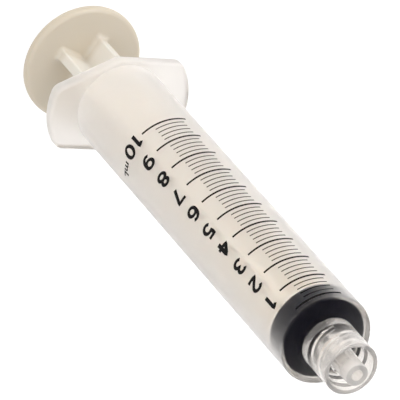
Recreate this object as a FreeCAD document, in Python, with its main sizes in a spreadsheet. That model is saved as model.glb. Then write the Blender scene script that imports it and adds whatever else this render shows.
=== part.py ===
import FreeCAD, Part
import math
import os
import Sketcher

# Disposable 10 ml syringe with a threaded lock collar, standing on its thumb plate.
#
# Each piece is drawn along X: x = 0 is the rear face of the finger flange, and +X points to the tip.
# The flange's long axis is Y. The three bodies then share one placement, in which the syringe stands
# tip up on its thumb plate, with z = 0 at the table.

# Driving sizes in millimetres and degrees
SIZES = [
    # barrel
    ("bore_radius", 7.25),
    ("barrel_wall", 0.9),
    ("barrel_length", 84.3),
    ("front_wall", 1.15),
    ("front_slope", 12),
    ("front_chamfer", 0.4),
    ("lead_in", 0.7),
    # low ring inside the mouth that keeps the stopper in
    ("ring_place", 3.4),
    ("ring_width", 0.8),
    ("ring_height", 0.3),
    ("ring_ramp", 0.7),
    # finger flange: a disc with four straight sides
    ("flange_reach", 13.2),
    ("flange_half_width", 8.75),
    ("flange_slant", 15),
    ("flange_thickness", 2.4),
    ("flange_corner", 2.2),
    ("flange_round", 0.45),
    # lock collar, its two-start thread, and the tapered tip inside it
    ("collar_radius", 4.75),
    ("collar_length", 9.4),
    ("collar_chamfer", 0.2),
    ("cavity_depth", 7.4),
    ("thread_root_radius", 4.0),
    ("thread_crest_radius", 3.5),
    ("thread_root_width", 1.3),
    ("thread_crest_width", 0.6),
    ("thread_lead", 5),
    ("thread_starts", 2),
    ("thread_travel", 5.6),
    ("thread_setback", 0.4),
    ("thread_sink", 0.1),
    ("tip_reach", 2.1),
    ("tip_end_radius", 1.98),
    ("tip_taper", 0.03),
    ("tip_chamfer", 0.2),
    ("passage_radius", 1.0),
    # rubber stopper
    ("seal_gap", 0.05),
    ("front_gap", 0.1),
    ("stopper_length", 4.1),
    ("rib_width", 1.15),
    ("rib_height", 0.5),
    ("rib_ramp", 0.35),
    ("rib_chamfer", 0.2),
    ("nose_flat_radius", 1.6),
    ("socket_lip", 1.2),
    ("socket_depth", 2.0),
    ("socket_neck_radius", 2.5),
    ("socket_radius", 3.7),
    # plunger rod
    ("swivel_gap", 0.12),
    ("disc_radius", 6.75),
    ("disc_thickness", 1.3),
    ("disc_chamfer", 0.3),
    ("head_chamfer", 0.9),
    ("web_radius", 5.85),
    ("web_thickness", 1.8),
    ("web_angle", 54),
    ("web_round", 0.35),
    ("web_foot", 0.9),
    ("thumb_radius", 10.95),
    ("thumb_thickness", 2.1),
    ("thumb_chamfer", 0.5),
    ("thumb_standoff", 13.2),
    ("groove_first_radius", 5.9),
    ("groove_step", 2.1),
    ("groove_count", 2),
    ("groove_width", 0.7),
    ("groove_depth", 0.35),
]

# Sizes that several pieces share, worked out from the driving ones
BARREL_RADIUS = "(Sizes.bore_radius + Sizes.barrel_wall)"
SHOULDER = "(Sizes.barrel_length - Sizes.front_wall)"
COLLAR_BASE = "(Sizes.barrel_length + (%s - Sizes.collar_radius) * tan(Sizes.front_slope))" % BARREL_RADIUS
COLLAR_FACE = "(Sizes.barrel_length + Sizes.collar_length)"
CAVITY_FLOOR = "(%s - Sizes.cavity_depth)" % COLLAR_FACE
TIP_END = "(%s + Sizes.tip_reach)" % COLLAR_FACE
TIP_ROOT_RADIUS = "(Sizes.tip_end_radius + Sizes.tip_taper * (Sizes.cavity_depth + Sizes.tip_reach))"
SEAL_RADIUS = "(Sizes.bore_radius - Sizes.seal_gap)"
WAIST_RADIUS = "(%s - Sizes.rib_height)" % SEAL_RADIUS
STOPPER_FRONT = "(%s - Sizes.front_gap)" % SHOULDER
STOPPER_REAR = "(%s - Sizes.stopper_length)" % STOPPER_FRONT
DISC_FRONT = "(%s - Sizes.swivel_gap)" % STOPPER_REAR
DISC_REAR = "(%s - Sizes.disc_thickness)" % DISC_FRONT
THUMB_FRONT = "(0 - Sizes.thumb_standoff)"
THUMB_REAR = "(%s - Sizes.thumb_thickness)" % THUMB_FRONT

doc = FreeCAD.newDocument("Syringe")
sheet = doc.addObject("Spreadsheet::Sheet", "Sizes")
for row, (name, value) in enumerate(SIZES, start=1):
    sheet.set("A%d" % row, name)
    sheet.set("B%d" % row, str(value))
    sheet.setAlias("B%d" % row, name)
doc.recompute()


def size(name):
    return float(sheet.get(name))


def origin(body, role):
    return next(part for part in body.Origin.OriginFeatures if part.Role == role)


def new_body(name):
    body = doc.addObject("PartDesign::Body", name)
    body.Label = name
    return body


def stand(body):
    """The body's X points up, its Y to -X and its Z to -Y, and the back of the thumb plate is at z = 0."""
    upright = FreeCAD.Rotation(FreeCAD.Vector(1, -1, 1), 120)
    body.Placement = FreeCAD.Placement(FreeCAD.Vector(), upright)
    body.setExpression("Placement.Base.z", "0 - %s" % THUMB_REAR)


def sketch_on(body, name, role):
    sketch = body.newObject("Sketcher::SketchObject", name)
    sketch.AttachmentSupport = [(origin(body, role), "")]
    sketch.MapMode = "FlatFace"
    return sketch


def bind(sketch, kind, edge, point, value, expression):
    index = sketch.addConstraint(Sketcher.Constraint(kind, edge, point, value))
    sketch.setExpression("Constraints[%d]" % index, expression)


def outline(body, name, role, corners):
    """A closed outline of straight lines. Each corner is a pair of expressions in the sheet's sizes."""
    sketch = sketch_on(body, name, role)
    count = len(corners)
    turn = 2 * math.pi / count
    start = [FreeCAD.Vector(10 * math.cos(turn * i), 10 * math.sin(turn * i), 0) for i in range(count)]
    for i in range(count):
        sketch.addGeometry(Part.LineSegment(start[i], start[(i + 1) % count]))
    for i in range(count):
        sketch.addConstraint(Sketcher.Constraint("Coincident", i, 2, (i + 1) % count, 1))
    for i, (across, up) in enumerate(corners):
        bind(sketch, "DistanceX", i, 1, start[i].x, across)
        bind(sketch, "DistanceY", i, 1, start[i].y, up)
    return sketch


def circles(body, name, role, radii):
    """Circles about the axis, each radius an expression."""
    sketch = sketch_on(body, name, role)
    for radius in radii:
        middle = FreeCAD.Vector()
        edge = sketch.addGeometry(Part.Circle(middle, FreeCAD.Vector(0, 0, 1), 5))
        sketch.addConstraint(Sketcher.Constraint("Coincident", edge, 3, -1, 1))
        index = sketch.addConstraint(Sketcher.Constraint("Radius", edge, 5))
        sketch.setExpression("Constraints[%d]" % index, radius)
    return sketch


def turned(body, name, kind, corners):
    """A ring or disc about X: the outline is drawn as (distance along the axis, radius)."""
    sketch = outline(body, name + "_outline", "XZ_Plane", corners)
    feature = body.newObject(kind, name)
    feature.Profile = sketch
    feature.ReferenceAxis = (origin(body, "X_Axis"), [""])
    feature.Angle = 360
    doc.recompute()
    return feature


def padded(body, name, sketch, length):
    pad = body.newObject("PartDesign::Pad", name)
    pad.Profile = sketch
    pad.setExpression("Length", length)
    doc.recompute()
    return pad


def around(body, name, feature, count):
    """Copies of a feature, evenly spaced about X."""
    pattern = body.newObject("PartDesign::PolarPattern", name)
    pattern.Originals = [feature]
    pattern.Axis = (origin(body, "X_Axis"), [""])
    pattern.Angle = 360
    pattern.setExpression("Occurrences", count)
    body.Tip = pattern
    doc.recompute()
    return pattern


def dress(body, name, kind, measure, wanted, value):
    """Work the edges of the body so far that wanted(edge) picks."""
    base = body.Tip
    names = ["Edge%d" % (i + 1) for i, edge in enumerate(base.Shape.Edges) if wanted(edge)]
    if not names:
        raise RuntimeError("%s found no edges" % name)
    feature = body.newObject(kind, name)
    feature.Base = (base, names)
    feature.setExpression(measure, value)
    doc.recompute()
    return feature


def rounded(body, name, wanted, radius):
    return dress(body, name, "PartDesign::Fillet", "Radius", wanted, radius)


def chamfered(body, name, wanted, leg):
    return dress(body, name, "PartDesign::Chamfer", "Size", wanted, leg)


def near(a, b):
    return abs(a - b) < 0.01


def is_ring(edge, x, radius):
    """Whether an edge is a full circle about X at this place and radius."""
    curve = edge.Curve
    return isinstance(curve, Part.Circle) and near(curve.Center.x, x) and near(curve.Radius, radius)


def ring_at(*wanted):
    return lambda edge: any(is_ring(edge, x, radius) for x, radius in wanted)


def lies_at(edge, x):
    box = edge.BoundBox
    return near(box.XMin, x) and near(box.XMax, x)


def from_axis(point):
    return math.hypot(point.y, point.z)


def middle_of(edge):
    return edge.valueAt((edge.FirstParameter + edge.LastParameter) / 2)


barrel_radius = size("bore_radius") + size("barrel_wall")
collar_face = size("barrel_length") + size("collar_length")
tip_end = collar_face + size("tip_reach")
thumb_front = -size("thumb_standoff")
thumb_rear = thumb_front - size("thumb_thickness")


# Barrel: tube, sloped front wall, collar and tip in one moulding
barrel = new_body("barrel")
passage_mouth = "%s + (Sizes.bore_radius - Sizes.passage_radius) * tan(Sizes.front_slope)" % SHOULDER
ring_end = "Sizes.ring_place + Sizes.ring_width"
ring_radius = "Sizes.bore_radius - Sizes.ring_height"
turned(barrel, "tube", "PartDesign::Revolution", [
    ("0", BARREL_RADIUS),
    ("Sizes.barrel_length", BARREL_RADIUS),
    (COLLAR_BASE, "Sizes.collar_radius"),
    (COLLAR_FACE, "Sizes.collar_radius"),
    (COLLAR_FACE, "Sizes.thread_root_radius"),
    (CAVITY_FLOOR, "Sizes.thread_root_radius"),
    (CAVITY_FLOOR, TIP_ROOT_RADIUS),
    (TIP_END, "Sizes.tip_end_radius"),
    (TIP_END, "Sizes.passage_radius"),
    (passage_mouth, "Sizes.passage_radius"),
    (SHOULDER, "Sizes.bore_radius"),
    (ring_end + " + Sizes.ring_ramp", "Sizes.bore_radius"),
    (ring_end, ring_radius),
    ("Sizes.ring_place", ring_radius),
    ("Sizes.ring_place - Sizes.ring_ramp", "Sizes.bore_radius"),
    ("Sizes.lead_in", "Sizes.bore_radius"),
    ("0", "Sizes.bore_radius + Sizes.lead_in / 2"),
])

# Finger flange: a disc around the mouth, its long sides cut straight at a slant
flange_seat = "(Sizes.bore_radius + Sizes.barrel_wall * 0.75)"
flange_disc = circles(barrel, "flange_outline", "YZ_Plane", ["Sizes.flange_reach", flange_seat])
padded(barrel, "flange", flange_disc, "Sizes.flange_thickness")
side_peak = "Sizes.flange_half_width / cos(Sizes.flange_slant)"
side_edge = "(%s - Sizes.flange_reach * tan(Sizes.flange_slant))" % side_peak
side_outline = outline(barrel, "side_outline", "YZ_Plane", [
    ("0", side_peak),
    ("Sizes.flange_reach", side_edge),
    ("Sizes.flange_reach", "Sizes.flange_reach + 1"),
    ("0 - Sizes.flange_reach", "Sizes.flange_reach + 1"),
    ("0 - Sizes.flange_reach", side_edge),
])
side_cut = barrel.newObject("PartDesign::Pocket", "side_cut")
side_cut.Profile = side_outline
side_cut.Reversed = True
side_cut.setExpression("Length", "Sizes.flange_thickness")
doc.recompute()
around(barrel, "both_sides", side_cut, "2")


def is_flange_corner(edge):
    box = edge.BoundBox
    spans = near(box.XMin, 0) and near(box.XMax, size("flange_thickness"))
    return spans and isinstance(edge.Curve, Part.Line) and from_axis(edge.CenterOfMass) > barrel_radius + 0.1


def is_flange_rim(edge):
    at_face = lies_at(edge, 0) or lies_at(edge, size("flange_thickness"))
    return at_face and from_axis(middle_of(edge)) > barrel_radius + 0.1


rounded(barrel, "flange_corners", is_flange_corner, "Sizes.flange_corner")
rounded(barrel, "flange_edges", is_flange_rim, "Sizes.flange_round")
chamfered(barrel, "front_edge", ring_at((size("barrel_length"), barrel_radius)), "Sizes.front_chamfer")
collar_edges = ring_at((collar_face, size("collar_radius")), (collar_face, size("thread_root_radius")))
chamfered(barrel, "collar_edges", collar_edges, "Sizes.collar_chamfer")
chamfered(barrel, "tip_edge", ring_at((tip_end, size("tip_end_radius"))), "Sizes.tip_chamfer")

# Two-start thread inside the collar: a trapezoid swept along a helix that starts near the collar's face
thread_start = "(%s - Sizes.thread_setback - Sizes.thread_travel - Sizes.thread_root_width)" % COLLAR_FACE
thread_flank = "(Sizes.thread_root_width - Sizes.thread_crest_width) / 2"
thread_root = "Sizes.thread_root_radius + Sizes.thread_sink"
thread_outline = outline(barrel, "thread_outline", "XZ_Plane", [
    (thread_start, thread_root),
    ("%s + %s" % (thread_start, thread_flank), "Sizes.thread_crest_radius"),
    ("%s + Sizes.thread_root_width - %s" % (thread_start, thread_flank), "Sizes.thread_crest_radius"),
    ("%s + Sizes.thread_root_width" % thread_start, thread_root),
])
thread = barrel.newObject("PartDesign::AdditiveHelix", "thread")
thread.Profile = thread_outline
thread.ReferenceAxis = (origin(barrel, "X_Axis"), [""])
thread.Mode = "pitch-height-angle"
thread.setExpression("Pitch", "Sizes.thread_lead")
thread.setExpression("Height", "Sizes.thread_travel")
doc.recompute()
around(barrel, "thread_pair", thread, "Sizes.thread_starts")


# Stopper: two sealing ribs, a nose that fits the front wall, and a socket for the rod's head
stopper = new_body("stopper")
nose_tip = "%s + (%s - Sizes.nose_flat_radius) * tan(Sizes.front_slope)" % (STOPPER_FRONT, SEAL_RADIUS)
turned(stopper, "plug", "PartDesign::Revolution", [
    (nose_tip, "0"),
    (nose_tip, "Sizes.nose_flat_radius"),
    (STOPPER_FRONT + " + Sizes.rib_chamfer * tan(Sizes.front_slope)", SEAL_RADIUS + " - Sizes.rib_chamfer"),
    (STOPPER_FRONT + " - Sizes.rib_chamfer", SEAL_RADIUS),
    (STOPPER_FRONT + " - Sizes.rib_width", SEAL_RADIUS),
    (STOPPER_FRONT + " - Sizes.rib_width - Sizes.rib_ramp", WAIST_RADIUS),
    (STOPPER_REAR + " + Sizes.rib_width + Sizes.rib_ramp", WAIST_RADIUS),
    (STOPPER_REAR + " + Sizes.rib_width", SEAL_RADIUS),
    (STOPPER_REAR + " + Sizes.rib_chamfer", SEAL_RADIUS),
    (STOPPER_REAR, SEAL_RADIUS + " - Sizes.rib_chamfer"),
    (STOPPER_REAR, "Sizes.socket_neck_radius"),
    (STOPPER_REAR + " + Sizes.socket_lip", "Sizes.socket_neck_radius"),
    (STOPPER_REAR + " + Sizes.socket_lip", "Sizes.socket_radius"),
    (STOPPER_REAR + " + Sizes.socket_lip + Sizes.socket_depth", "Sizes.socket_radius"),
    (STOPPER_REAR + " + Sizes.socket_lip + Sizes.socket_depth", "0"),
])


# Plunger rod: thumb plate, cross-shaped web, disc that pushes the stopper, and the head in its socket
rod = new_body("plunger_rod")
turned(rod, "thumb_plate", "PartDesign::Revolution", [
    (THUMB_REAR, "0"),
    (THUMB_REAR, "Sizes.thumb_radius"),
    (THUMB_FRONT, "Sizes.thumb_radius"),
    (THUMB_FRONT, "0"),
])
thumb_rims = ring_at((thumb_rear, size("thumb_radius")), (thumb_front, size("thumb_radius")))
chamfered(rod, "thumb_rim", thumb_rims, "Sizes.thumb_chamfer")

# One long blade through the axis, and a second one at right angles
blade_outline = outline(rod, "blade_outline", "YZ_Plane", [
    ("Sizes.web_radius", "Sizes.web_thickness / 2"),
    ("0 - Sizes.web_radius", "Sizes.web_thickness / 2"),
    ("0 - Sizes.web_radius", "0 - Sizes.web_thickness / 2"),
    ("Sizes.web_radius", "0 - Sizes.web_thickness / 2"),
])
blade_outline.AttachmentOffset = FreeCAD.Placement(
    FreeCAD.Vector(0, 0, thumb_front), FreeCAD.Rotation(FreeCAD.Vector(0, 0, 1), size("web_angle"))
)
blade_outline.setExpression("AttachmentOffset.Base.z", THUMB_FRONT)
blade_outline.setExpression("AttachmentOffset.Rotation.Angle", "Sizes.web_angle")
doc.recompute()
blade = padded(rod, "blade", blade_outline, "%s - %s + Sizes.disc_thickness / 2" % (DISC_REAR, THUMB_FRONT))
around(rod, "cross", blade, "4")


def is_blade_edge(edge):
    box = edge.BoundBox
    long_enough = box.XLength > size("barrel_length") / 2
    return long_enough and from_axis(edge.CenterOfMass) > size("web_radius") - 0.1


def is_blade_foot(edge):
    return lies_at(edge, thumb_front) and from_axis(middle_of(edge)) < size("web_radius") + 0.1


rounded(rod, "blade_edges", is_blade_edge, "Sizes.web_round")
chamfered(rod, "blade_feet", is_blade_foot, "Sizes.web_foot")

# The disc, the neck and the head of the rod
neck_radius = "(Sizes.socket_neck_radius - Sizes.swivel_gap)"
head_radius = "(Sizes.socket_radius - Sizes.swivel_gap)"
head_rear = "(%s + Sizes.socket_lip + Sizes.swivel_gap)" % STOPPER_REAR
head_front = "(%s + Sizes.socket_lip + Sizes.socket_depth - Sizes.swivel_gap)" % STOPPER_REAR
turned(rod, "nose", "PartDesign::Revolution", [
    (DISC_REAR, "0"),
    (DISC_REAR, "Sizes.disc_radius - Sizes.disc_chamfer"),
    (DISC_REAR + " + Sizes.disc_chamfer", "Sizes.disc_radius"),
    (DISC_FRONT + " - Sizes.disc_chamfer", "Sizes.disc_radius"),
    (DISC_FRONT, "Sizes.disc_radius - Sizes.disc_chamfer"),
    (DISC_FRONT, neck_radius),
    (head_rear, neck_radius),
    (head_rear, head_radius),
    (head_front + " - Sizes.head_chamfer", head_radius),
    (head_front, head_radius + " - Sizes.head_chamfer"),
    (head_front, "0"),
])

# V-shaped grip grooves in the back of the thumb plate, drawn to twice their depth so that they cut through it
for number in range(int(size("groove_count"))):
    middle = "(Sizes.groove_first_radius + %d * Sizes.groove_step)" % number
    turned(rod, "grip_groove_%d" % (number + 1), "PartDesign::Groove", [
        (THUMB_REAR + " + Sizes.groove_depth", middle),
        (THUMB_REAR + " - Sizes.groove_depth", middle + " + Sizes.groove_width"),
        (THUMB_REAR + " - Sizes.groove_depth", middle + " - Sizes.groove_width"),
    ])

bodies = [barrel, stopper, rod]
for body in bodies:
    stand(body)
doc.recompute()

# Every object has to be sound before anything is written
for item in doc.Objects:
    if "Invalid" in item.State or "Error" in item.State:
        raise RuntimeError("%s failed: %s" % (item.Name, item.State))
for body in bodies:
    shape = body.Shape
    if shape.isNull() or not shape.isValid() or len(shape.Solids) != 1:
        raise RuntimeError("%s is not one sound solid" % body.Label)

os.makedirs("parts", exist_ok=True)
for body in bodies:
    body.Shape.exportStep("parts/%s.step" % body.Label)
    box = body.Shape.BoundBox
    print("%s volume %.1f, x %.2f to %.2f, y %.2f to %.2f, z %.3f to %.2f" % (
        body.Label, body.Shape.Volume, box.XMin, box.XMax, box.YMin, box.YMax, box.ZMin, box.ZMax))
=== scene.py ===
import bpy
import math
from mathutils import Matrix, Vector


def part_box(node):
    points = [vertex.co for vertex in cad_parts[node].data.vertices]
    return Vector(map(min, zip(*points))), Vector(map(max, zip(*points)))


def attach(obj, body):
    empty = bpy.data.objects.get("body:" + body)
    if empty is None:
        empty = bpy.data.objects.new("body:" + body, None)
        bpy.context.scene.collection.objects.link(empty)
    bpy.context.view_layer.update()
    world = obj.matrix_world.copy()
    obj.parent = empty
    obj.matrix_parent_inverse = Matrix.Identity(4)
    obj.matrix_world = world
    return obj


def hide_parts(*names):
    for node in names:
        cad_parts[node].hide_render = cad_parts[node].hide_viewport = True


# Disposable 10 ml syringe with a threaded lock collar, standing on its thumb plate.
# The syringe's axis is Z. Heights are measured from the back of the thumb plate, and directions
# about the axis are angles from +X towards +Y.

MM = 0.001

# How finely the pieces are made: steps to a full turn, segments to a rounded edge and steps in the
# hollow foot of the web
SPIN_STEPS = 160
LINE_STEPS = 180
EDGE_SEGMENTS = 4
FLANGE_SEGMENTS = 5
FOOT_STEPS = 6

# Steps along arcs, and the angle past which an edge stays sharp, in degrees
ARC_STEP = 3
BLADE_STEP = 15
PEN_STEP = 15
SHARP_ANGLE = 32

# How near points count as one, in mm: when picked by place, on a seam, and on a spun or typed piece
SAME_PLACE = 0.001
SEAM_GAP = 0.0005
WELD_GAP = 0.002

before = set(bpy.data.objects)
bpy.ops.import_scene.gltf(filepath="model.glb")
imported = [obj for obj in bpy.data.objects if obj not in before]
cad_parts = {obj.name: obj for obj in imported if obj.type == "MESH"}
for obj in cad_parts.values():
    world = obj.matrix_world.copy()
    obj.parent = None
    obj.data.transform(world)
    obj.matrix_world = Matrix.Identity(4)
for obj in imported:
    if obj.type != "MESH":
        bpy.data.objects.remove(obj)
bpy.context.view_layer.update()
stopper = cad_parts["stopper"]

# Barrel, in mm and degrees
BORE_RADIUS = 7.25
OUTER_RADIUS = 8.15
BARREL_LENGTH = 84.3
FRONT_WALL = 1.15
FRONT_SLOPE = 12
FRONT_ROUND = 0.4
LEAD_IN = 0.7
RING_TOP = 4.2
RING_WIDTH = 0.8
RING_HEIGHT = 0.3
RING_RAMP = 0.7
RING_ROUND = 0.15
FLANGE_REACH = 13.2
FLANGE_HALF_WIDTH = 8.75
FLANGE_SLANT = 15
FLANGE_THICKNESS = 2.4
FLANGE_CORNER = 2.2
FLANGE_ROUND = 0.6
COLLAR_RADIUS = 4.75
COLLAR_LENGTH = 9.4
COLLAR_ROUND = 0.18
CAVITY_DEPTH = 7.4
TIP_REACH = 2.1
TIP_END_RADIUS = 1.98
TIP_TAPER = 0.03
PASSAGE_RADIUS = 1
THREAD_ROOT = 4
THREAD_CREST = 3.5
THREAD_ROOT_WIDTH = 1.3
THREAD_CREST_WIDTH = 0.6
THREAD_LEAD = 5
THREAD_STARTS = 2
THREAD_START = -90
THREAD_TRAVEL = 5.6
THREAD_SETBACK = 0.4
THREAD_SINK = 0.1

# Plunger rod, in mm and degrees, its heights from the back of the thumb plate
THUMB_RADIUS = 10.95
THUMB_THICKNESS = 2.1
THUMB_ROUND = 0.8
GROOVE_COUNT = 2
GROOVE_FIRST = 5.9
GROOVE_STEP = 2.1
GROOVE_WIDTH = 0.7
GROOVE_DEPTH = 0.35
GROOVE_ROUND = 0.12
WEB_RADIUS = 5.85
WEB_THICKNESS = 1.8
WEB_DIRECTION = -126
WEB_ROUND = 0.35
WEB_ROOT = 0.5
LEAST_ROOT = 0.02
WEB_FOOT = 0.9
DISC_REAR = 92.83
DISC_RADIUS = 6.75
DISC_THICKNESS = 1.3
DISC_ROUND = 0.3
NECK_RADIUS = 2.38
HEAD_RADIUS = 3.58
HEAD_REAR = 95.57
HEAD_FRONT = 97.33
HEAD_ROUND = 0.9

# The printed scale: its zero is level with the stopper's front shoulder, and the numbers count
# downwards, towards the finger flange
BARREL_RADIUS = OUTER_RADIUS * MM
SCALE_ZERO = 98.12 * MM
MILLILITRE = 6.056 * MM
TOP_NUMBER = 10
MINORS_PER_ML = 5
PRINT_LIFT = 0.03 * MM
INK_THICKNESS = 0.02 * MM
MAJOR_WIDTH = 0.42 * MM
MINOR_WIDTH = 0.22 * MM
MAJOR_FROM, MAJOR_TO = -113, -53
MINOR_FROM, MINOR_TO = -106, -68
DIGIT_HEIGHT = 3.5 * MM
DIGIT_RISE = 0.25 * MM
DIGIT_DIRECTION = -35.5
TEN_DIRECTION = -34.5
PEN_WIDTH = 0.76 * MM
DIGIT_SPACING = 2.35 * MM
STROKE_STEP = 0.12
UNIT_SIZE = 2.3 * MM
UNIT_WEIGHT = 0.05 * MM
UNIT_RISE = 0.9 * MM
UNIT_DIRECTION = -4
UNIT_CUTS = 2


def only(piece):
    """Select one piece alone and make it the active one."""
    bpy.ops.object.select_all(action="DESELECT")
    piece.select_set(True)
    bpy.context.view_layer.objects.active = piece


def apply_modifiers(piece):
    only(piece)
    for modifier in list(piece.modifiers):
        bpy.ops.object.modifier_apply(modifier=modifier.name)


def settle(piece):
    """Put the piece's place, turn and scale into its mesh."""
    only(piece)
    bpy.ops.object.transform_apply(location=True, rotation=True, scale=True)


def joined(name, parts):
    """Make several parts one piece of this name."""
    bpy.ops.object.select_all(action="DESELECT")
    for part in parts:
        part.select_set(True)
    bpy.context.view_layer.objects.active = parts[0]
    bpy.ops.object.join()
    whole = bpy.context.view_layer.objects.active
    whole.name = name
    whole.data.name = name
    return whole


def arc(across, up, half_width, half_height, start, end, step=ARC_STEP):
    """Points of a part of an ellipse, anticlockwise from the right when end is over start."""
    steps = max(2, round(abs(end - start) / step))
    points = []
    for number in range(steps + 1):
        angle = math.radians(start + (end - start) * number / steps)
        points.append((across + half_width * math.cos(angle), up + half_height * math.sin(angle)))
    return points


def drawn(name, points, faces=()):
    """A new piece from its points. With no faces, the points make one closed line."""
    count = len(points)
    edges = [] if faces else [(i, (i + 1) % count) for i in range(count)]
    mesh = bpy.data.meshes.new(name)
    mesh.from_pydata(points, edges, faces)
    piece = bpy.data.objects.new(name, mesh)
    bpy.context.scene.collection.objects.link(piece)
    return piece


def edit(piece):
    only(piece)
    bpy.ops.object.mode_set(mode="EDIT")
    bpy.ops.mesh.select_all(action="SELECT")


def finish_edit():
    bpy.ops.object.mode_set(mode="OBJECT")


def pick(piece, kind, wanted):
    """In edit mode, select only the vertices or edges whose middle wanted(point) accepts."""
    bpy.ops.mesh.select_all(action="DESELECT")
    bpy.ops.mesh.select_mode(type=kind)
    bpy.ops.object.mode_set(mode="OBJECT")
    mesh = piece.data
    if kind == "VERT":
        for vertex in mesh.vertices:
            vertex.select = wanted(vertex.co)
    else:
        for edge in mesh.edges:
            first, second = (mesh.vertices[i].co for i in edge.vertices)
            edge.select = wanted((first + second) / 2)
    bpy.ops.object.mode_set(mode="EDIT")


def turned(name, profile, rounds):
    """A ring or disc about Z: a closed line of (radius, height) in mm, its corners rounded, spun round.

    Each of the rounds is a radius and the places in the profile of the corners that get it.
    """
    line = drawn(name, [Vector((radius, 0, height)) * MM for radius, height in profile])
    for radius, corners in rounds:
        edit(line)
        places = [Vector((profile[i][0], 0, profile[i][1])) * MM for i in corners]
        pick(line, "VERT", lambda point: any((point - place).length < SAME_PLACE * MM for place in places))
        bpy.ops.mesh.bevel(offset=radius * MM, segments=EDGE_SEGMENTS, affect="VERTICES")
        finish_edit()
    edit(line)
    bpy.ops.mesh.spin(steps=SPIN_STEPS, angle=math.tau, center=(0, 0, 0), axis=(0, 0, 1))
    bpy.ops.mesh.select_all(action="SELECT")
    bpy.ops.mesh.remove_doubles(threshold=WELD_GAP * MM)
    bpy.ops.mesh.normals_make_consistent(inside=False)
    finish_edit()
    return line


def merged(piece, other, operation="UNION"):
    """Add the other piece to this one, or cut it out, and close the fine gaps left along the seam."""
    tool = piece.modifiers.new("merge", "BOOLEAN")
    tool.operation = operation
    tool.solver = "EXACT"
    tool.object = other
    apply_modifiers(piece)
    bpy.data.objects.remove(other)
    edit(piece)
    bpy.ops.mesh.remove_doubles(threshold=SEAM_GAP * MM)
    finish_edit()
    return piece


def smoothed(piece):
    """Smooth shading that keeps flat faces flat and sharp edges sharp."""
    only(piece)
    bpy.ops.object.shade_smooth_by_angle(angle=math.radians(SHARP_ANGLE))
    flat = piece.modifiers.new("flat", "WEIGHTED_NORMAL")
    flat.keep_sharp = True
    apply_modifiers(piece)
    return piece


# Barrel: the same form as the node, with the rounded edges and the smooth turn of a clear moulding.
# Its heights are measured from the rear face of the finger flange

def barrel_profile():
    slope = math.tan(math.radians(FRONT_SLOPE))
    shoulder = BARREL_LENGTH - FRONT_WALL
    floor_height = BARREL_LENGTH + COLLAR_LENGTH - CAVITY_DEPTH
    face = BARREL_LENGTH + COLLAR_LENGTH
    end = face + TIP_REACH
    root = TIP_END_RADIUS + TIP_TAPER * (end - floor_height)
    return [
        (OUTER_RADIUS, 0),
        (OUTER_RADIUS, BARREL_LENGTH),
        (COLLAR_RADIUS, BARREL_LENGTH + (OUTER_RADIUS - COLLAR_RADIUS) * slope),
        (COLLAR_RADIUS, face),
        (THREAD_ROOT, face),
        (THREAD_ROOT, floor_height),
        (root, floor_height),
        (TIP_END_RADIUS, end),
        (PASSAGE_RADIUS, end),
        (PASSAGE_RADIUS, shoulder + (BORE_RADIUS - PASSAGE_RADIUS) * slope),
        (BORE_RADIUS, shoulder),
        (BORE_RADIUS, RING_TOP + RING_RAMP),
        (BORE_RADIUS - RING_HEIGHT, RING_TOP),
        (BORE_RADIUS - RING_HEIGHT, RING_TOP - RING_WIDTH),
        (BORE_RADIUS, RING_TOP - RING_WIDTH - RING_RAMP),
        (BORE_RADIUS, LEAD_IN),
        (BORE_RADIUS + LEAD_IN / 2, 0),
    ]


def flange_outline():
    """A disc with four straight sides, all corners rounded: a chain of arcs, each from its centre."""
    centre_reach = FLANGE_REACH - FLANGE_CORNER
    centre_width = FLANGE_HALF_WIDTH - FLANGE_CORNER
    normal = 90 - FLANGE_SLANT
    corner = normal - math.degrees(math.acos(centre_width / centre_reach))
    across = centre_reach * math.cos(math.radians(corner))
    up = centre_reach * math.sin(math.radians(corner))
    peak = centre_width / math.cos(math.radians(FLANGE_SLANT))
    size = FLANGE_CORNER
    half = arc(0, 0, FLANGE_REACH, FLANGE_REACH, -corner, corner)[1:-1]
    half += arc(across, up, size, size, corner, normal)
    half += arc(0, peak, size, size, normal, 180 - normal)
    half += arc(-across, up, size, size, 180 - normal, 180 - corner)
    return half + [(-x, -y) for x, y in half]


def finger_flange():
    """The flange's outline, made thick, its edges rounded, and cut out where the tube passes."""
    outline = [Vector((x, y, 0)) * MM for x, y in flange_outline()]
    flange = drawn("flange", outline, [list(range(len(outline)))])
    edit(flange)
    bpy.ops.mesh.extrude_region_move(TRANSFORM_OT_translate={"value": (0, 0, FLANGE_THICKNESS * MM)})
    bpy.ops.mesh.select_all(action="SELECT")
    bpy.ops.mesh.normals_make_consistent(inside=False)
    middle = FLANGE_THICKNESS / 2 * MM
    pick(flange, "EDGE", lambda point: abs(abs(point.z - middle) - middle) < SAME_PLACE * MM)
    bpy.ops.mesh.bevel(offset=FLANGE_ROUND * MM, segments=FLANGE_SEGMENTS)
    finish_edit()
    hole = (OUTER_RADIUS + BORE_RADIUS) / 2 * MM
    bpy.ops.mesh.primitive_cylinder_add(vertices=SPIN_STEPS, radius=hole, depth=FLANGE_THICKNESS * 3 * MM)
    return merged(flange, bpy.context.active_object, "DIFFERENCE")


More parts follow.
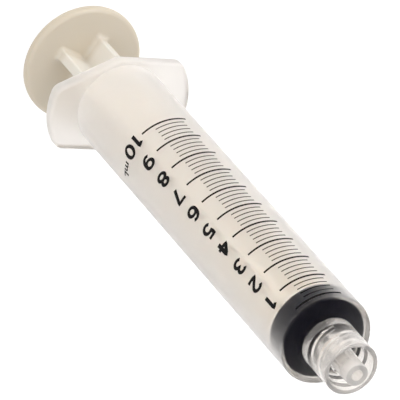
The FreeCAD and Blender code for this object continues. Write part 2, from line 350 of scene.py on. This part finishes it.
def thread_ridge(start):
    """One start of the thread: its section drawn at a direction, and swept up along a helix."""
    flank = (THREAD_ROOT_WIDTH - THREAD_CREST_WIDTH) / 2
    foot = BARREL_LENGTH + COLLAR_LENGTH - THREAD_SETBACK - THREAD_TRAVEL - THREAD_ROOT_WIDTH
    section = [
        (THREAD_ROOT + THREAD_SINK, foot),
        (THREAD_CREST, foot + flank),
        (THREAD_CREST, foot + THREAD_ROOT_WIDTH - flank),
        (THREAD_ROOT + THREAD_SINK, foot + THREAD_ROOT_WIDTH),
    ]
    turn = Matrix.Rotation(math.radians(start), 3, "Z")
    ridge = drawn("thread", [turn @ Vector((radius, 0, height)) * MM for radius, height in section])
    sweep = ridge.modifiers.new("sweep", "SCREW")
    sweep.angle = math.tau * THREAD_TRAVEL / THREAD_LEAD
    sweep.screw_offset = THREAD_TRAVEL * MM
    sweep.steps = SPIN_STEPS
    sweep.render_steps = SPIN_STEPS
    apply_modifiers(ridge)
    edit(ridge)
    bpy.ops.mesh.fill_holes(sides=0)
    bpy.ops.mesh.select_all(action="SELECT")
    bpy.ops.mesh.normals_make_consistent(inside=False)
    finish_edit()
    return ridge


def clear_barrel():
    """The whole moulding: the spun tube and hub, the finger flange and both starts of the thread."""
    rounds = (
        (FRONT_ROUND, (1,)),
        (COLLAR_ROUND, (2, 3, 4, 5, 6, 7)),
        (RING_ROUND, (11, 12, 13, 14)),
    )
    piece = merged(turned("clear_barrel", barrel_profile(), rounds), finger_flange())
    turn = 360 / THREAD_STARTS
    ridges = [thread_ridge(THREAD_START + number * turn) for number in range(THREAD_STARTS)]
    piece = merged(piece, joined("thread", ridges))
    piece.data.transform(Matrix.Translation((0, 0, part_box("barrel")[0][2])))
    return smoothed(piece)


# Plunger rod: the same form as the node, with rounded rims, blades and feet

def cross_outline(grown):
    """The web's section: four rounded blades with soft corners between them, all grown by this much."""
    half = WEB_THICKNESS / 2 + grown
    reach = WEB_RADIUS + grown
    inner = max(WEB_ROOT - grown, LEAST_ROOT)
    outer = WEB_ROUND + grown / 2
    edge = arc(reach - outer, half - outer, outer, outer, 0, 90, BLADE_STEP)
    corner = arc(half + inner, half + inner, inner, inner, 270, 180, BLADE_STEP)
    quarter = edge + corner + [(y, x) for x, y in reversed(edge)]
    points = []
    for blade in range(4):
        turn = Matrix.Rotation(math.radians(WEB_DIRECTION + 90 * blade), 2)
        points += [turn @ Vector(point) for point in quarter]
    return points


def cross_web():
    """The web from inside the thumb plate to inside the disc, with a hollow curve at its foot."""
    foot = THUMB_THICKNESS
    top = DISC_REAR + DISC_THICKNESS / 2
    stages = [(foot - DISC_THICKNESS / 2, WEB_FOOT), (foot, WEB_FOOT)]
    for number in range(1, FOOT_STEPS + 1):
        angle = math.radians(90 * number / FOOT_STEPS)
        stages.append((foot + WEB_FOOT * (1 - math.cos(angle)), WEB_FOOT * (1 - math.sin(angle))))
    stages.append((top, 0))
    points = []
    for height, grown in stages:
        points += [Vector((x, y, height)) * MM for x, y in cross_outline(grown)]
    count = len(points) // len(stages)
    faces = [list(range(count))[::-1], list(range(len(points) - count, len(points)))]
    for level in range(len(stages) - 1):
        start = level * count
        for i in range(count):
            after = (i + 1) % count
            faces.append((start + i, start + after, start + count + after, start + count + i))
    return drawn("web", points, faces)


def thumb_plate():
    """A disc with full round rims and two soft rings pressed into its back."""
    profile = [(0, 0)]
    grooves = []
    for number in range(GROOVE_COUNT):
        middle = GROOVE_FIRST + number * GROOVE_STEP
        half = GROOVE_WIDTH / 2
        grooves += [len(profile) + i for i in range(3)]
        profile += [(middle - half, 0), (middle, GROOVE_DEPTH), (middle + half, 0)]
    rims = (len(profile), len(profile) + 1)
    profile += [(THUMB_RADIUS, 0), (THUMB_RADIUS, THUMB_THICKNESS), (0, THUMB_THICKNESS)]
    return turned("thumb_plate", profile, ((THUMB_ROUND, rims), (GROOVE_ROUND, grooves)))


def rod_nose():
    """The disc that pushes the stopper, the neck and the head in its socket."""
    profile = [
        (0, DISC_REAR),
        (DISC_RADIUS, DISC_REAR),
        (DISC_RADIUS, DISC_REAR + DISC_THICKNESS),
        (NECK_RADIUS, DISC_REAR + DISC_THICKNESS),
        (NECK_RADIUS, HEAD_REAR),
        (HEAD_RADIUS, HEAD_REAR),
        (HEAD_RADIUS, HEAD_FRONT),
        (0, HEAD_FRONT),
    ]
    return turned("nose", profile, ((DISC_ROUND, (1, 2)), (HEAD_ROUND, (6,))))


def cream_rod():
    rod = merged(thumb_plate(), cross_web())
    rod = merged(rod, rod_nose())
    rod.name = "cream_rod"
    rod.data.name = "cream_rod"
    return smoothed(rod)


# Print on the barrel

def scale_line(start, end, width):
    """One printed line round the barrel, from one direction to the other, at height zero."""
    bpy.ops.object.select_all(action="DESELECT")
    bpy.ops.mesh.primitive_cylinder_add(
        vertices=LINE_STEPS, radius=BARREL_RADIUS + PRINT_LIFT, depth=width, end_fill_type="NOTHING"
    )
    line = bpy.context.active_object
    bpy.ops.object.mode_set(mode="EDIT")
    bpy.ops.mesh.select_all(action="DESELECT")
    bpy.ops.object.mode_set(mode="OBJECT")
    for face in line.data.polygons:
        direction = math.degrees(math.atan2(face.center.y, face.center.x))
        face.select = not start < direction < end
    bpy.ops.object.mode_set(mode="EDIT")
    bpy.ops.mesh.select_mode(type="FACE")
    bpy.ops.mesh.delete(type="FACE")
    bpy.ops.object.mode_set(mode="OBJECT")
    ink = line.modifiers.new("ink", "SOLIDIFY")
    ink.thickness = INK_THICKNESS
    ink.offset = 1
    apply_modifiers(line)
    return line


def copy_at(piece, height):
    """A copy of the piece with a mesh of its own, at this height."""
    copy = piece.copy()
    copy.data = piece.data.copy()
    bpy.context.scene.collection.objects.link(copy)
    copy.location.z = height
    return copy


def printed_scale():
    """A long line for each millilitre and short ones between them, joined into one piece."""
    major = scale_line(MAJOR_FROM, MAJOR_TO, MAJOR_WIDTH)
    minor = scale_line(MINOR_FROM, MINOR_TO, MINOR_WIDTH)
    lines = []
    for step in range(TOP_NUMBER * MINORS_PER_ML + 1):
        pattern = major if step % MINORS_PER_ML == 0 else minor
        lines.append(copy_at(pattern, SCALE_ZERO - step * MILLILITRE / MINORS_PER_ML))
    bpy.data.objects.remove(major)
    bpy.data.objects.remove(minor)
    scale = joined("scale_lines", lines)
    settle(scale)
    return scale


def pen_arc(across, up, half_width, half_height, start, end):
    return arc(across, up, half_width, half_height, start, end, PEN_STEP)


def stroke(*corners):
    """Points along straight lines from corner to corner, close enough together to be bent."""
    points = [corners[0]]
    for start, end in zip(corners, corners[1:]):
        steps = max(1, math.ceil(math.dist(start, end) / STROKE_STEP))
        for step in range(1, steps + 1):
            share = step / steps
            points.append(tuple(a + (b - a) * share for a, b in zip(start, end)))
    return points


def digit_strokes(digit):
    """The pen strokes of a plain bold digit that is one high, centred on the origin."""
    top, side = 0.415, 0.235
    if digit == "0":
        return [pen_arc(0, 0, side, top, 0, 360)]
    if digit == "1":
        return [stroke((-0.15, 0.24), (0.06, top), (0.06, -0.5))]
    if digit == "2":
        bowl = pen_arc(0, 0.19, side, top - 0.19, 165, -35)
        return [bowl + stroke(bowl[-1], (-side, -top), (side + 0.04, -top))[1:]]
    if digit == "3":
        upper = pen_arc(-0.02, 0.215, side - 0.02, 0.2, 150, -90)
        return [upper + pen_arc(-0.02, -0.2, side, 0.215, 90, -150)[1:]]
    if digit == "4":
        return [stroke((0.09, -0.5), (0.09, top), (-side - 0.02, -0.17), (side + 0.06, -0.17))]
    if digit == "5":
        belly = pen_arc(-0.01, -0.15, side, 0.265, 128, -145)
        return [stroke((side - 0.02, top), (-side + 0.06, top), belly[0]) + belly[1:]]
    if digit == "6":
        back = pen_arc(0.02, 0, side + 0.02, top, 55, 180)
        return [back + pen_arc(0, -0.16, side, 0.255, 180, 540)]
    if digit == "7":
        return [stroke((-side - 0.04, top), (side, top), (-0.07, -0.5))]
    if digit == "8":
        return [pen_arc(0, 0.215, side - 0.04, 0.2, -90, 270), pen_arc(0, -0.2, side, 0.215, 90, 450)]
    return [[(-across, -up) for across, up in line] for line in digit_strokes("6")]


def drawn_number(number):
    """A number drawn with a broad pen, as a flat piece that stands upright at the origin."""
    pen = bpy.data.curves.new("number", "CURVE")
    pen.dimensions = "3D"
    pen.bevel_depth = PEN_WIDTH / 2
    pen.bevel_resolution = 1
    pen.use_fill_caps = True
    digits = str(number)
    for place, digit in enumerate(digits):
        shift = (place - (len(digits) - 1) / 2) * DIGIT_SPACING
        for points in digit_strokes(digit):
            line = pen.splines.new("POLY")
            closed = math.dist(points[0], points[-1]) * DIGIT_HEIGHT < SAME_PLACE * MM
            if closed:
                points = points[:-1]
            line.points.add(len(points) - 1)
            for point, (across, up) in zip(line.points, points):
                point.co = (across * DIGIT_HEIGHT + shift, 0, up * DIGIT_HEIGHT, 1)
            line.use_cyclic_u = closed
    piece = bpy.data.objects.new("number", pen)
    bpy.context.scene.collection.objects.link(piece)
    only(piece)
    bpy.ops.object.convert(target="MESH")
    piece = bpy.context.active_object
    piece.scale.y = INK_THICKNESS / PEN_WIDTH
    settle(piece)
    return piece


def typed_unit():
    """The unit after the highest number, cut up finely enough to be bent."""
    bpy.ops.object.select_all(action="DESELECT")
    bpy.ops.object.text_add(rotation=(math.radians(90), 0, 0))
    text = bpy.context.active_object
    text.data.body = "mL"
    text.data.size = UNIT_SIZE
    text.data.align_x = "CENTER"
    text.data.align_y = "CENTER"
    text.data.offset = UNIT_WEIGHT
    text.data.extrude = INK_THICKNESS / 2
    bpy.ops.object.convert(target="MESH")
    text = bpy.context.active_object
    settle(text)
    edit(text)
    bpy.ops.mesh.remove_doubles(threshold=WELD_GAP * MM)
    bpy.ops.mesh.subdivide(number_cuts=UNIT_CUTS)
    finish_edit()
    return text


def wrap(piece, direction, height):
    """Bend an upright flat piece round the barrel, centred on a direction and a height."""
    across = [vertex.co.x for vertex in piece.data.vertices]
    upward = [vertex.co.z for vertex in piece.data.vertices]
    piece.data.transform(Matrix.Translation((0, 0, -(max(upward) + min(upward)) / 2)))
    bend = piece.modifiers.new("bend", "SIMPLE_DEFORM")
    bend.deform_method = "BEND"
    bend.deform_axis = "Z"
    radius = BARREL_RADIUS + PRINT_LIFT
    bend.angle = (max(across) - min(across)) / radius
    apply_modifiers(piece)
    piece.data.transform(Matrix.Translation((0, -radius, 0)))
    piece.rotation_euler.z = math.radians(direction + 90)
    piece.location.z = height
    settle(piece)
    return piece


def printed_numbers():
    pieces = []
    for number in range(1, TOP_NUMBER + 1):
        direction = TEN_DIRECTION if number == TOP_NUMBER else DIGIT_DIRECTION
        height = SCALE_ZERO - number * MILLILITRE
        pieces.append(wrap(drawn_number(number), direction, height + DIGIT_RISE))
    pieces.append(wrap(typed_unit(), UNIT_DIRECTION, height + UNIT_RISE))
    return joined("scale_numbers", pieces)


# Materials

# How clear and how hazy the barrel's plastic looks at these heights in mm: the thick flange is
# milky, the tube clears towards the front, and the thick lock collar is milky again at its end
CLEARNESS = (
    (15, 0.7),
    (18, 0.78),
    (60, 0.86),
    (88, 0.92),
    (92.5, 0.97),
    (94, 1),
    (103, 1),
    (105.5, 0.88),
    (108, 0.78),
    (111, 0.64),
)
HAZE = ((15, 0.5), (60, 0.45), (92.5, 0.3), (94, 0.28), (100.1, 0.28), (100.6, 0.23), (111, 0.23))

# Seen at a glancing view, the barrel's clearness falls to this share, and this sharply
GLANCING_SHARE = 0.3
GLANCING_POWER = 8

# The rod is one cream plastic with painted light. The thumb plate's colour is painted shade and the web's
# colour is painted light, mixed at these heights: nought gives the plate's painted shade and one the web's
# painted light
ROD_PAINTED_LIGHT = ((1.5, 0), (4.5, 1), (100, 1))
PLATE_PAINTED_SHADE = (0.64, 0.562, 0.445, 1)
WEB_PAINTED_LIGHT = (0.785, 0.748, 0.68, 1)


def new_material(name):
    material = bpy.data.materials.new(name)
    material.use_nodes = True
    tree = material.node_tree
    return material, tree, tree.nodes["Principled BSDF"]


def set_inputs(node, **values):
    for name, value in values.items():
        node.inputs[name.replace("_", " ")].default_value = value


def moulded_grain(tree, shader, scale, strength, depth):
    """The very slight waviness of a moulded surface, as bump from noise on Object coordinates."""
    place = tree.nodes.new("ShaderNodeTexCoord")
    noise = tree.nodes.new("ShaderNodeTexNoise")
    set_inputs(noise, Scale=scale, Detail=3, Roughness=0.5)
    bump = tree.nodes.new("ShaderNodeBump")
    set_inputs(bump, Strength=strength, Distance=depth)
    tree.links.new(place.outputs["Object"], noise.inputs["Vector"])
    tree.links.new(noise.outputs["Fac"], bump.inputs["Height"])
    tree.links.new(bump.outputs["Normal"], shader.inputs["Normal"])
    return place


def by_height(tree, place, stops):
    """A value that changes along the syringe, from a list of heights in mm and values."""
    split = tree.nodes.new("ShaderNodeSeparateXYZ")
    share = tree.nodes.new("ShaderNodeMapRange")
    set_inputs(share, From_Min=stops[0][0] * MM, From_Max=stops[-1][0] * MM)
    ramp = tree.nodes.new("ShaderNodeValToRGB")
    marks = ramp.color_ramp.elements
    span = stops[-1][0] - stops[0][0]
    for height, value in stops[1:-1]:
        marks.new((height - stops[0][0]) / span)
    for mark, (height, value) in zip(marks, stops):
        mark.color = (value, value, value, 1)
    tree.links.new(place.outputs["Object"], split.inputs["Vector"])
    tree.links.new(split.outputs["Z"], share.inputs["Value"])
    tree.links.new(share.outputs["Result"], ramp.inputs["Fac"])
    return ramp.outputs["Color"]


def milky_plastic():
    """Natural clear plastic: milky by height and at a glancing view, and it lets the lamps' light in."""
    material, tree, shader = new_material("milky_plastic")
    set_inputs(shader, Base_Color=(0.95, 0.92, 0.89, 1), IOR=1.34)
    shader.inputs["Specular Tint"].default_value = (0.06, 0.06, 0.06, 1)
    place = moulded_grain(tree, shader, scale=180, strength=0.15, depth=0.05 * MM)
    link = tree.links.new
    clearness = by_height(tree, place, CLEARNESS)
    link(by_height(tree, place, HAZE), shader.inputs["Roughness"])
    edge = tree.nodes.new("ShaderNodeLayerWeight")
    sharp = tree.nodes.new("ShaderNodeMath")
    sharp.operation = "POWER"
    sharp.inputs[1].default_value = GLANCING_POWER
    glancing = tree.nodes.new("ShaderNodeMapRange")
    set_inputs(glancing, To_Min=1, To_Max=GLANCING_SHARE)
    link(edge.outputs["Facing"], sharp.inputs[0])
    link(sharp.outputs["Value"], glancing.inputs["Value"])
    clear = tree.nodes.new("ShaderNodeMath")
    clear.operation = "MULTIPLY"
    link(clearness, clear.inputs[0])
    link(glancing.outputs["Result"], clear.inputs[1])
    link(clear.outputs["Value"], shader.inputs["Transmission Weight"])
    rays = tree.nodes.new("ShaderNodeLightPath")
    let_through = tree.nodes.new("ShaderNodeMath")
    let_through.operation = "MULTIPLY"
    link(rays.outputs["Is Shadow Ray"], let_through.inputs[0])
    link(clearness, let_through.inputs[1])
    lit = tree.nodes.new("ShaderNodeMixShader")
    through = tree.nodes.new("ShaderNodeBsdfTransparent")
    link(let_through.outputs["Value"], lit.inputs["Fac"])
    link(shader.outputs["BSDF"], lit.inputs[1])
    link(through.outputs["BSDF"], lit.inputs[2])
    link(lit.outputs["Shader"], tree.nodes["Material Output"].inputs["Surface"])
    return material


def rod_plastic():
    """Cream plastic with painted light: the thumb plate painted darker and yellower as shade, the web
    painted lighter as if lit.
    """
    material, tree, shader = new_material("rod_plastic")
    set_inputs(shader, Roughness=0.42)
    shader.inputs["Subsurface Weight"].default_value = 0.3
    shader.inputs["Subsurface Radius"].default_value = (1.5 * MM, 1.2 * MM, 0.9 * MM)
    shader.inputs["Subsurface Scale"].default_value = 1
    place = moulded_grain(tree, shader, scale=250, strength=0.12, depth=0.05 * MM)
    # Painted light: one cream plastic, painted darker as shade in the thumb plate and lighter in the web,
    # mixed by height
    light_and_shade = tree.nodes.new("ShaderNodeMix")
    light_and_shade.data_type = "RGBA"
    first, second = (socket for socket in light_and_shade.inputs if socket.type == "RGBA")
    first.default_value = PLATE_PAINTED_SHADE
    second.default_value = WEB_PAINTED_LIGHT
    mixed = next(socket for socket in light_and_shade.outputs if socket.type == "RGBA")
    tree.links.new(by_height(tree, place, ROD_PAINTED_LIGHT), light_and_shade.inputs["Factor"])
    tree.links.new(mixed, shader.inputs["Base Color"])
    return material


def stopper_rubber():
    material, tree, shader = new_material("stopper_rubber")
    set_inputs(shader, Base_Color=(0.002, 0.002, 0.007, 1), Roughness=0.5, Specular_IOR_Level=0.04)
    moulded_grain(tree, shader, scale=300, strength=0.1, depth=0.03 * MM)
    return material


def print_ink():
    material, tree, shader = new_material("print_ink")
    set_inputs(shader, Base_Color=(0.006, 0.005, 0.005, 1), Roughness=0.7, Specular_IOR_Level=0.1)
    moulded_grain(tree, shader, scale=1500, strength=0.3, depth=0.01 * MM)
    return material


def dress(piece, material):
    piece.data.materials.clear()
    piece.data.materials.append(material)


# Stage: a white floor and surrounding, a wide soft lamp on the picture's right and a weak one on its left

FLOOR_SIZE = 6000 * MM
FLOOR_GAP = 0.1 * MM
SYRINGE_MIDDLE = (0, 0, 55 * MM)


def seen_rays(tree):
    """One for rays of the camera, also by reflection or through glass, and nought for the others."""
    rays = tree.nodes.new("ShaderNodeLightPath")
    seen = rays.outputs["Is Camera Ray"]
    for kind in ("Is Glossy Ray", "Is Transmission Ray"):
        either = tree.nodes.new("ShaderNodeMath")
        either.operation = "MAXIMUM"
        tree.links.new(seen, either.inputs[0])
        tree.links.new(rays.outputs[kind], either.inputs[1])
        seen = either.outputs["Value"]
    return seen


def floor():
    """A white floor just under the thumb plate, and see-through from below."""
    bpy.ops.object.select_all(action="DESELECT")
    bpy.ops.mesh.primitive_plane_add(size=FLOOR_SIZE, location=(0, 0, -FLOOR_GAP))
    ground = bpy.context.active_object
    ground.name = "floor"
    material = bpy.data.materials.new("white_floor")
    material.use_nodes = True
    tree = material.node_tree
    tree.nodes.clear()
    out = tree.nodes.new("ShaderNodeOutputMaterial")
    seen = tree.nodes.new("ShaderNodeAddShader")
    glow = tree.nodes.new("ShaderNodeEmission")
    set_inputs(glow, Color=(1, 1, 1, 1), Strength=0.85)
    shaded = tree.nodes.new("ShaderNodeBsdfDiffuse")
    set_inputs(shaded, Color=(0.35, 0.35, 0.35, 1))
    plain = tree.nodes.new("ShaderNodeBsdfDiffuse")
    set_inputs(plain, Color=(0.8, 0.8, 0.8, 1))
    choose = tree.nodes.new("ShaderNodeMixShader")
    link = tree.links.new
    link(seen_rays(tree), choose.inputs["Fac"])
    link(glow.outputs["Emission"], seen.inputs[0])
    link(shaded.outputs["BSDF"], seen.inputs[1])
    link(plain.outputs["BSDF"], choose.inputs[1])
    link(seen.outputs["Shader"], choose.inputs[2])
    side = tree.nodes.new("ShaderNodeNewGeometry")
    nothing = tree.nodes.new("ShaderNodeBsdfTransparent")
    sides = tree.nodes.new("ShaderNodeMixShader")
    link(side.outputs["Backfacing"], sides.inputs["Fac"])
    link(choose.outputs["Shader"], sides.inputs[1])
    link(nothing.outputs["BSDF"], sides.inputs[2])
    link(sides.outputs["Shader"], out.inputs["Surface"])
    ground.data.materials.append(material)


def sky():
    """A plain white surrounding: its light is softer than the white that is seen."""
    world = bpy.data.worlds.new("studio")
    bpy.context.scene.world = world
    world.use_nodes = True
    tree = world.node_tree
    light = tree.nodes["Background"]
    set_inputs(light, Color=(1, 1, 1, 1), Strength=0.77)
    seen = tree.nodes.new("ShaderNodeBackground")
    set_inputs(seen, Color=(1, 1, 1, 1), Strength=1)
    choose = tree.nodes.new("ShaderNodeMixShader")
    tree.links.new(seen_rays(tree), choose.inputs["Fac"])
    tree.links.new(light.outputs["Background"], choose.inputs[1])
    tree.links.new(seen.outputs["Background"], choose.inputs[2])
    tree.links.new(choose.outputs["Shader"], tree.nodes["World Output"].inputs["Surface"])


def lamp(name, place, size, power):
    """A soft lamp that points at the middle of the syringe."""
    bpy.ops.object.light_add(type="AREA", location=place)
    light = bpy.context.active_object
    light.name = name
    light.data.size = size
    light.data.energy = power
    aim = Vector(SYRINGE_MIDDLE) - Vector(place)
    light.rotation_euler = aim.to_track_quat("-Z", "Y").to_euler()


def camera():
    """The photograph's view: the axes and the place of a camera 1.06 m away, with a long lens."""
    right = Vector((-0.907628, -0.022137, 0.419191))
    up = Vector((-0.19925, -0.856226, -0.47663))
    back = Vector((0.369473, -0.516127, 0.772724))
    place = Vector((393.857, -549.633, 874.229)) * MM
    data = bpy.data.cameras.new("camera")
    data.lens = 567.4
    data.sensor_width = 36
    data.clip_start = 0.05
    data.clip_end = 20
    view = bpy.data.objects.new("camera", data)
    bpy.context.scene.collection.objects.link(view)
    turn = Matrix((right, up, back)).transposed().to_4x4()
    view.matrix_world = Matrix.Translation(place) @ turn
    bpy.context.scene.camera = view


camera()

lines = printed_scale()
numbers = printed_numbers()
ink = print_ink()
for piece in (lines, numbers):
    dress(piece, ink)
    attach(piece, "barrel_body")

clear = clear_barrel()
dress(clear, milky_plastic())
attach(clear, "barrel_body")
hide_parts("barrel")
dress(stopper, stopper_rubber())
rod = cream_rod()
dress(rod, rod_plastic())
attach(rod, "rod_body")
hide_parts("plunger_rod")

floor()
sky()
lamp("key", place=(-0.6, -0.85, 0.3), size=0.8, power=6)
lamp("fill", place=(0.85, -0.35, 0.3), size=0.6, power=2)
bpy.context.scene.view_settings.view_transform = "Standard"
